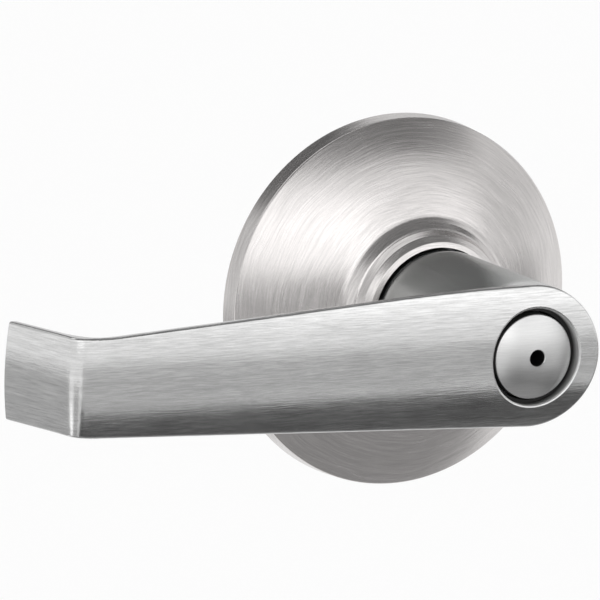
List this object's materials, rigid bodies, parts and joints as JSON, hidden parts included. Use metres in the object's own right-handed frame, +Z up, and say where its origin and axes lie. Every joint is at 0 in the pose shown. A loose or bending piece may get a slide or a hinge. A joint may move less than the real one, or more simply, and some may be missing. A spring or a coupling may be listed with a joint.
{
  "type": "door lever handle",
  "caption": "Door lever trim with a round domed rose, a straight tapered lever with a returned end, and a privacy button with a release hole in its hub.",
  "frame": {"origin": "the lever's axis where it meets the door face, at the back of the rose and mounting plate", "axes": "+Y points into the door along the lever's axis, so the handle stands out along -Y; the lever points along -X at rest; +Z is up"},
  "size_m": [0.1241, 0.088, 0.066],
  "materials": {
    "lever_satin": "satin chrome, brushed along the lever",
    "button_satin": "satin chrome, fine brushed",
    "rose_satin": "satin chrome, spun round the axis",
    "plated_steel": "clear zinc plate",
    "sintered_steel": "dark sintered steel",
    "spring_steel": "oiled spring steel",
    "blackened_steel": "black oxide on steel",
    "bright_steel": "ground steel",
    "bearing_brass": "turned brass",
    "nylon": "natural nylon"
  },
  "bodies": {
    "trim": {"rose": "rose_satin", "mounting_plate": "plated_steel", "mounting_posts": "plated_steel", "rose_clips": "spring_steel", "cage_cup": "plated_steel", "cage_cover": "plated_steel", "cage_rivets": "plated_steel", "return_spring": "spring_steel", "rear_bush": "bearing_brass", "front_bush": "bearing_brass", "thrust_washer": "nylon"},
    "handle": {"lever": "lever_satin", "spindle_tube": "plated_steel", "spindle_end_bush": "bearing_brass", "retaining_ring": "spring_steel", "drive_keys": "sintered_steel", "spring_driver": "sintered_steel", "catch_spring": "spring_steel", "button_guide": "bearing_brass", "guide_ring": "spring_steel", "button_spring": "spring_steel"},
    "button": {"button_cap": "button_satin", "button_tube": "bright_steel", "button_clip": "spring_steel", "release_spring": "spring_steel"},
    "release": {"release_pin": "blackened_steel"},
    "catch": {"lever_catch": "bright_steel"}
  },
  "joints": [
    {"name": "lever_turn", "type": "hinge", "parent": "trim", "child": "handle", "pos_m": [0, 0, 0], "axis": [0, -1, 0], "range_deg": [-50, 50], "stiffness_Nm_per_rad": 1.5, "springref_deg": -2.01, "deforming": ["return_spring"]},
    {"name": "button_press", "type": "slide", "parent": "handle", "child": "button", "axis": [0, 1, 0], "range_m": [0, 0.0025], "stiffness_N_per_m": 600, "springref_m": -0.004, "deforming": ["button_spring"]},
    {"name": "release_press", "type": "slide", "parent": "button", "child": "release", "axis": [0, 1, 0], "range_m": [0, 0.004], "stiffness_N_per_m": 300, "springref_m": -0.004, "deforming": ["release_spring"]},
    {"name": "catch_press", "type": "slide", "parent": "handle", "child": "catch", "axis": [0, 0, 1], "range_m": [0, 0.0019], "stiffness_N_per_m": 800, "springref_m": -0.003, "deforming": ["catch_spring"]}
  ]
}
